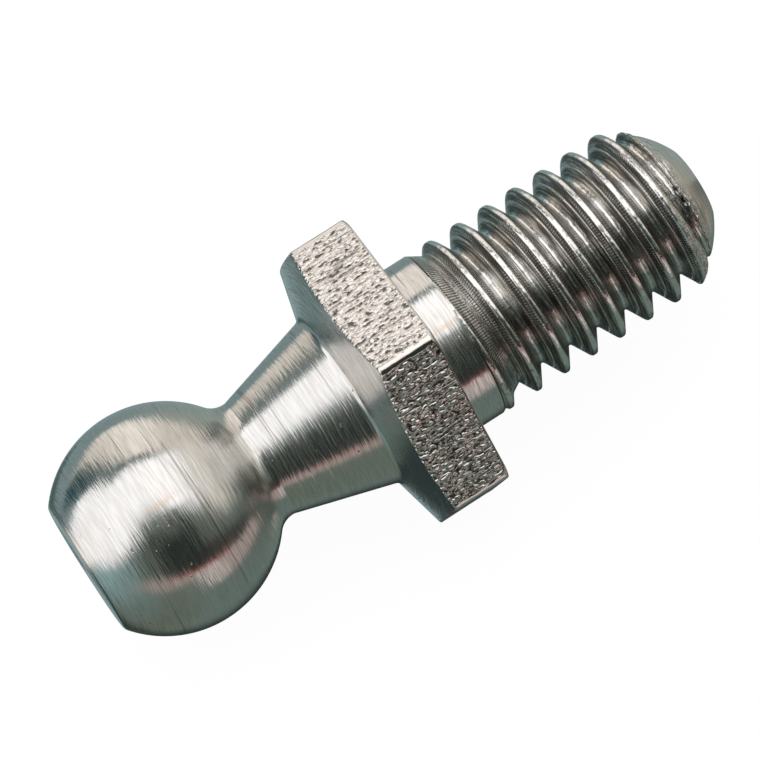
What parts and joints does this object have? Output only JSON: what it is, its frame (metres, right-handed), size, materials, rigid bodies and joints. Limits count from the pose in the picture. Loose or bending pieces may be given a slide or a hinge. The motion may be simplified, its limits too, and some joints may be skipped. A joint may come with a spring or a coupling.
{
  "type": "ball stud",
  "caption": "Ball stud turned in one piece from hexagonal bar: ball with a flat end, tapered neck, hexagon for a spanner, plain collar and right-hand screw thread with a chamfered tip.",
  "frame": {"origin": "centre of the flat on the free end of the ball, on the stud's axis", "axes": "+X along the stud's axis from the ball to the threaded tip, +Z square to a flat of the hexagon, +Y towards a corner of the hexagon"},
  "size_m": [0.0305, 0.0146, 0.0126],
  "materials": {
    "stainless_steel": "turned bright on the ball, neck, collar and thread; drawn bar skin on the sides of the hexagon"
  },
  "bodies": {
    "root": {"ball_stud": "stainless_steel"}
  },
  "joints": []
}
